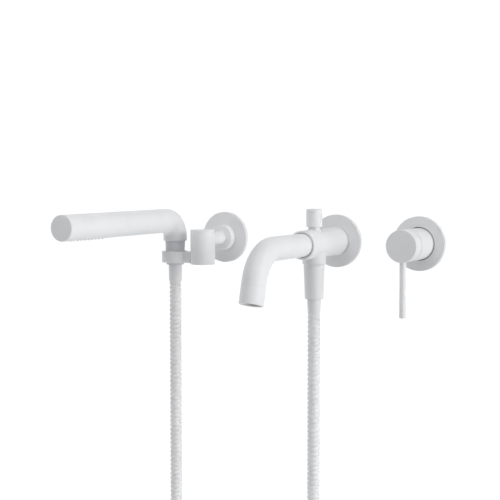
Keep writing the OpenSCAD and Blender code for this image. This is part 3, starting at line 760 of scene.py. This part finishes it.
def on_dome(radius, r):
    """Distance from the wall of a sphere round the lever's pivot, at a radius r from the axis."""
    return PIVOT + math.sqrt(radius * radius - r * r)


def dome(radius, low, high, steps):
    """Outline points on a sphere round the lever's pivot, between two radii from the axis."""
    found = []
    for k in range(steps + 1):
        r = low + (high - low) * k / steps
        found.append((r, on_dome(radius, r)))
    return found


def make_mixer():
    """Sleeve with a dome at its end, the cap that slides over the dome, and the lever."""
    ledge = on_dome(DOME_R, SLEEVE_R) - 0.3 * MM
    sleeve = [(SLEEVE_R - MIXER_WALL, -6 * MM), (SLEEVE_R, -6 * MM, 0.3 * MM)]
    sleeve += [(SLEEVE_R, ledge), (SLEEVE_R - SEAM_DEPTH, ledge)]
    sleeve += dome(DOME_R, SLEEVE_R - SEAM_DEPTH, DOME_HOLE_R, 16)
    sleeve += dome(DOME_R - DOME_T, DOME_HOLE_R, SLEEVE_R - MIXER_WALL, 8)
    stands_for(lathe("mixer_sleeve_turned", sleeve, out_of_wall(MIXER_X), sides=128), "mixer_sleeve")
    cap = dome(CAVITY_R, STEM_R, SLEEVE_R - 0.2 * MM, 16)
    cap += [(SLEEVE_R, on_dome(CAVITY_R, SLEEVE_R)), (SLEEVE_R, MIXER_END, EASE)]
    cap += [(0, MIXER_END), (0, MIXER_END - MIXER_WALL), (STEM_R, MIXER_END - MIXER_WALL)]
    stands_for(lathe("mixer_cap_turned", cap, out_of_wall(MIXER_X), sides=128), "mixer_cap")
    low, _, middle = box_of("mixer_lever")
    radius, line = radius_of("mixer_lever"), low.z + TIP_LINE
    thin = radius - 0.3 * MM
    stands_for(lathe("mixer_lever_turned", [
        (0, low.z), (radius, low.z, 0.5 * MM), (radius, line), (thin, line + 0.1 * MM),
        (thin, line + 0.5 * MM), (radius, line + 0.6 * MM), (radius, LEVER_TOP), (LEVER_STUD_R, LEVER_TOP),
        (LEVER_STUD_R, LEVER_STUD_TOP), (0, LEVER_STUD_TOP),
    ], upright(MIXER_X, middle.y), sides=64), "mixer_lever")


make_mixer()

# Behind the wall

THREAD_PITCH = 1.814 * MM    # G1/2
THREAD_R = 10.2 * MM
NIPPLE_BACK = -28 * MM
SCREW_PITCH = 2.2 * MM
SCREW_R = 2.4 * MM
SCREW_TIP = -35 * MM
SCREW_SPREAD = 16 * MM       # the wall screws sit this far above and below the arm
THREAD_STEP = 0.3 * MM


def make_nipple():
    shaft = stretch(THREAD_R, NIPPLE_BACK, THREAD_R, 1 * MM, THREAD_STEP)
    shaft[0] = (THREAD_R - 0.9 * MM, NIPPLE_BACK)
    front = mm((8.1, 1), (8.1, 12.5, 0.3), (5.5, 12.5))
    thread = screw_wave(THREAD_PITCH, 1.1 * MM, NIPPLE_BACK, -1 * MM)
    stands_for(lathe("wall_nipple_threaded", [(5.5 * MM, NIPPLE_BACK)] + shaft + front, out_of_wall(),
                     sides=72, wave=thread, sharp=50), "wall_nipple")


def make_wall_screw(name, z):
    """A tapping screw with a point and a low round head."""
    shank = stretch(0.4 * MM, SCREW_TIP, SCREW_R, -30 * MM, THREAD_STEP)
    shank += stretch(SCREW_R, -29.7 * MM, SCREW_R, -0.5 * MM, THREAD_STEP)
    head = mm((2.2, -0.5), (2.2, 0.5), (4.5, 2.8, 0.2), (0, 2.8))
    thread = screw_wave(SCREW_PITCH, 0.6 * MM, -34.5 * MM, -2 * MM)
    screw = lathe(name, [(0, SCREW_TIP)] + shank + head, out_of_wall(HOLDER_X, z), sides=32,
                  wave=thread, sharp=50)
    screw.data.materials.append(FINISH["steel"])
    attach(screw, "root")
    return screw


make_nipple()
top_screw = make_wall_screw("wall_screw_top", SCREW_SPREAD)
make_wall_screw("wall_screw_low", -SCREW_SPREAD)
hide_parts("holder_wall_screws")

# Floor, light and background

FLOOR_Z = -0.62
FLOOR_SIZE = 6
WHITE = 1.05                 # what the camera sees of the floor and the room
# Where each light comes from, how narrow it is and how bright. A program fitted these numbers to the
# photo's tones, and they were then rounded.
STUDIO_LIGHTS = (
    ((0.94, 0.07, 0.33), 300, 21),      # key light, low on the right
    ((0.97, -0.14, 0.19), 300, 12.5),   # and its front edge
    ((0.79, 0.21, 0.57), 60, 5),        # and its upper half
    ((0.0, -0.7, 0.7), 6, 1.8),         # above the camera
    ((0.0, 1.0, 0.0), 6, 1.15),         # the wall itself
    ((-0.6, -0.6, 0.6), 6, 0.42),       # left of the camera
    ((-0.6, 0.6, 0.6), 6, 1.0),         # above the wall, left
    ((1.0, 0.0, 0.0), 6, 1.05),         # bounce on the right
    ((0.7, 0.0, -0.7), 6, 1.7),         # bounce from the floor, right
    ((-0.7, 0.0, -0.7), 6, 2.7),        # bounce from the floor, left
)


def make_floor(size):
    """A pale floor that the camera sees as white and the lights below shine through."""
    bm = bmesh.new()
    bmesh.ops.create_grid(bm, x_segments=8, y_segments=8, size=size)
    bmesh.ops.translate(bm, verts=bm.verts, vec=(0, 0, FLOOR_Z))
    floor = new_object("floor", bm)
    material, tree, bsdf = shader("floor")
    tree.nodes.remove(bsdf)
    seen = tree.nodes.new("ShaderNodeLightPath")
    clear = tree.nodes.new("ShaderNodeBsdfTransparent")
    glow = tree.nodes.new("ShaderNodeEmission")
    tree.links.new(ramp(tree, noise(tree, 3, 2), 0.99, 1.0), glow.inputs["Color"])
    glow.inputs["Strength"].default_value = WHITE
    mix = tree.nodes.new("ShaderNodeMixShader")
    tree.links.new(seen.outputs["Is Camera Ray"], mix.inputs["Fac"])
    tree.links.new(clear.outputs["BSDF"], mix.inputs[1])
    tree.links.new(glow.outputs["Emission"], mix.inputs[2])
    tree.links.new(mix.outputs["Shader"], tree.nodes["Material Output"].inputs["Surface"])
    floor.data.materials.append(material)


def math_node(tree, how, a, b):
    """A Math node's result. a and b are numbers or sockets."""
    node = tree.nodes.new("ShaderNodeMath")
    node.operation = how
    for socket, value in zip(node.inputs, (a, b)):
        if isinstance(value, (int, float)):
            socket.default_value = value
        else:
            tree.links.new(value, socket)
    return node.outputs["Value"]


def glow_from(tree, direction, toward, tightness, strength):
    """A soft light in the sky: brightest in one direction, fading away from it."""
    dot = tree.nodes.new("ShaderNodeVectorMath")
    dot.operation = "DOT_PRODUCT"
    tree.links.new(direction, dot.inputs[0])
    dot.inputs[1].default_value = Vector(toward).normalized()
    near = math_node(tree, "MAXIMUM", dot.outputs["Value"], 0.0)
    return math_node(tree, "MULTIPLY", math_node(tree, "POWER", near, tightness), strength)


def make_sky():
    """The studio: soft lights all round the object. The camera sees plain white."""
    world = bpy.data.worlds.new("studio")
    bpy.context.scene.world = world
    world.use_nodes = True
    tree = world.node_tree
    sky = tree.nodes["Background"]
    place = tree.nodes.new("ShaderNodeTexCoord")
    strength = 0.0
    for toward, tightness, power in STUDIO_LIGHTS:
        glow = glow_from(tree, place.outputs["Generated"], toward, tightness, power)
        strength = math_node(tree, "ADD", strength, glow)
    seen = tree.nodes.new("ShaderNodeLightPath")
    seen_white = math_node(tree, "MULTIPLY", seen.outputs["Is Camera Ray"], WHITE)
    strength = math_node(tree, "MAXIMUM", strength, seen_white)
    tree.links.new(strength, sky.inputs["Strength"])
    sky.inputs["Color"].default_value = (0.985, 0.99, 1.0, 1)


make_floor(FLOOR_SIZE)
make_sky()
bpy.context.scene.view_settings.view_transform = "Standard"
